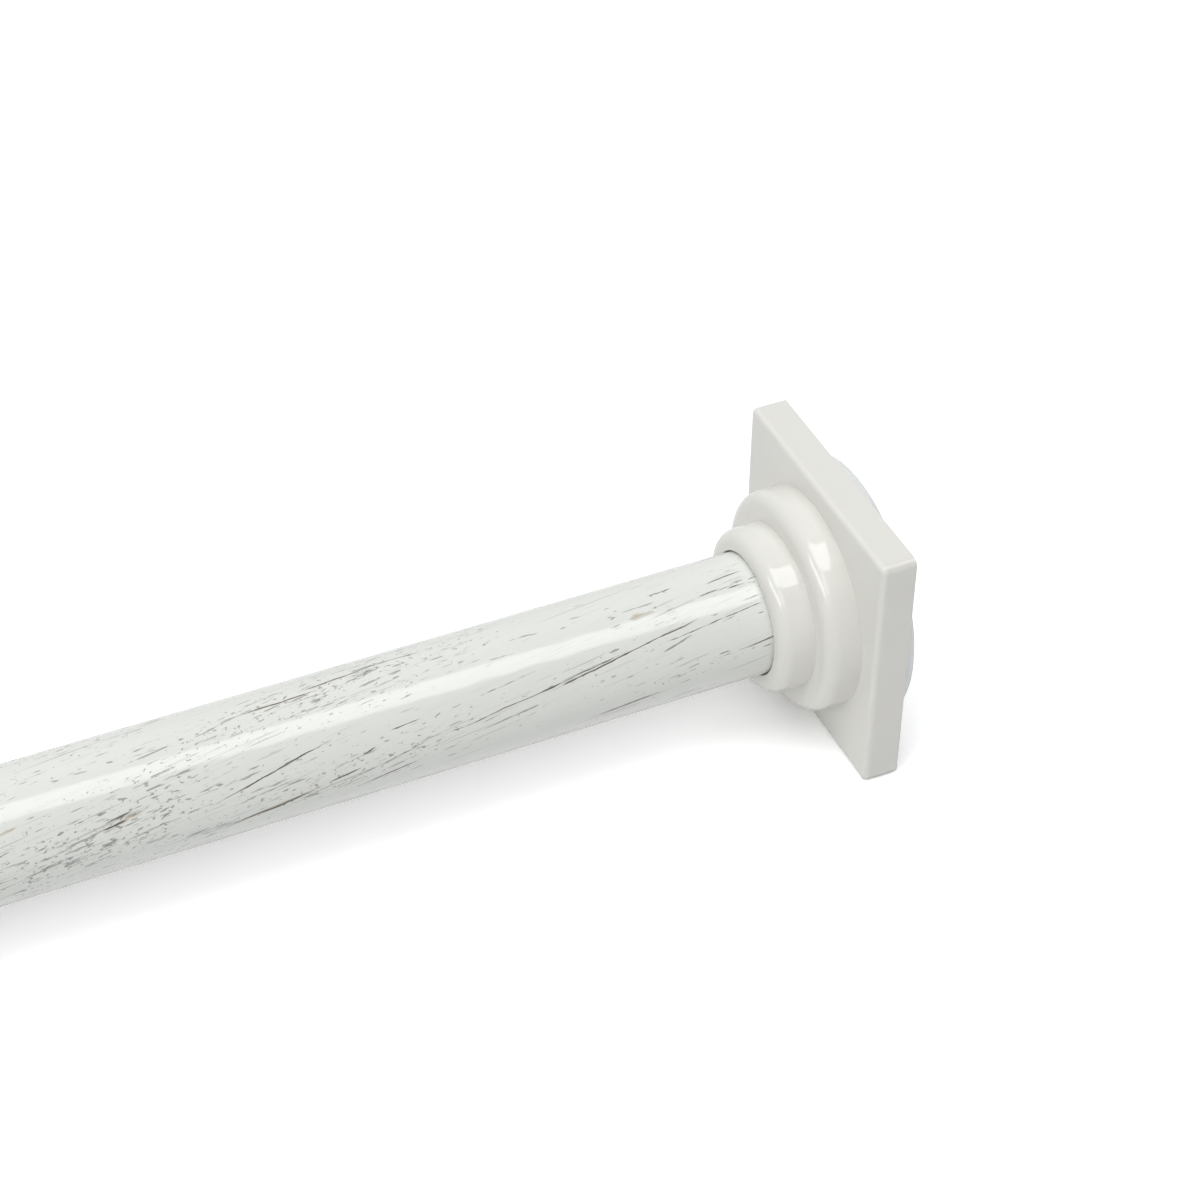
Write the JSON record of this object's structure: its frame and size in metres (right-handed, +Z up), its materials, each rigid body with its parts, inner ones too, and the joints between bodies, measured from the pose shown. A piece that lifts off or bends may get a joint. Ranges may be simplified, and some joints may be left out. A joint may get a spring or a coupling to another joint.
{
  "type": "spring tension rod",
  "caption": "Telescoping twist-lock curtain rod in distressed white steel, held between walls by an inner spring and square stepped end flanges with soft pads.",
  "frame": {"origin": "centre of the wall pad's face at the outer tube's end, on the rod's axis", "axes": "+X along the rod's axis, out of the wall pad at the outer tube's end and into the wall; +Z up, square to the flanges' upper and lower edges; +Y horizontal across the rod"},
  "size_m": [0.61, 0.056, 0.056],
  "materials": {
    "distressed_paint": "glossy off-white paint with grey-brown wood-like cracks and flecks",
    "flange_plastic": "glossy warm off-white moulding",
    "clear_silicone": "soft translucent pale blue silicone",
    "white_nylon": "satin moulded nylon",
    "black_nylon": "satin black glass-filled nylon",
    "acetal": "smooth natural acetal",
    "black_rubber": "matt black rubber",
    "zinc_steel": "bright zinc plated steel",
    "spring_steel": "oiled drawn spring wire"
  },
  "bodies": {
    "outer_tube": {"outer_tube": "distressed_paint", "outer_end_plug": "white_nylon", "mouth_collar": "white_nylon", "outer_swivel_screw": "zinc_steel", "outer_swivel_washer": "zinc_steel"},
    "outer_flange": {"outer_flange": "flange_plastic", "outer_wall_pad": "clear_silicone"},
    "lock_collar": {"split_collar": "black_nylon", "drag_ring": "black_rubber"},
    "cone_nut": {"cone_nut": "acetal"},
    "spindle": {"spindle": "zinc_steel", "spindle_clip": "spring_steel", "thrust_washer": "zinc_steel", "spring_seat": "zinc_steel", "tip_washer": "zinc_steel", "lock_nut": "zinc_steel", "compression_spring": "spring_steel"},
    "inner_tube": {"inner_tube": "distressed_paint", "guide_plug": "black_nylon", "inner_end_plug": "white_nylon", "inner_swivel_screw": "zinc_steel", "inner_swivel_washer": "zinc_steel"},
    "inner_flange": {"inner_flange": "flange_plastic", "inner_wall_pad": "clear_silicone"}
  },
  "joints": [
    {"name": "outer_flange_swivel", "type": "hinge", "parent": "outer_tube", "child": "outer_flange", "pos_m": [-0.01, 0, 0], "axis": [1, 0, 0], "continuous": true},
    {"name": "telescope", "type": "slide", "parent": "outer_tube", "child": "lock_collar", "axis": [-1, 0, 0], "range_m": [0, 0.305]},
    {"name": "twist_lock", "type": "hinge", "parent": "lock_collar", "child": "spindle", "pos_m": [-0.06, 0, 0], "axis": [1, 0, 0], "range_deg": [0, 360]},
    {"name": "cone_draw", "type": "slide", "parent": "lock_collar", "child": "cone_nut", "axis": [-1, 0, 0], "range_m": [0, 0.003]},
    {"name": "spring_stroke", "type": "slide", "parent": "spindle", "child": "inner_tube", "axis": [1, 0, 0], "range_m": [0, 0.045], "stiffness_N_per_m": 2500, "springref_m": -0.012, "deforming": ["compression_spring"]},
    {"name": "inner_flange_swivel", "type": "hinge", "parent": "inner_tube", "child": "inner_flange", "pos_m": [-0.6, 0, 0], "axis": [1, 0, 0], "continuous": true}
  ],
  "couplings": [
    {"joint": "cone_draw", "follows": "twist_lock", "m_per_rad": 0.00047746}
  ]
}
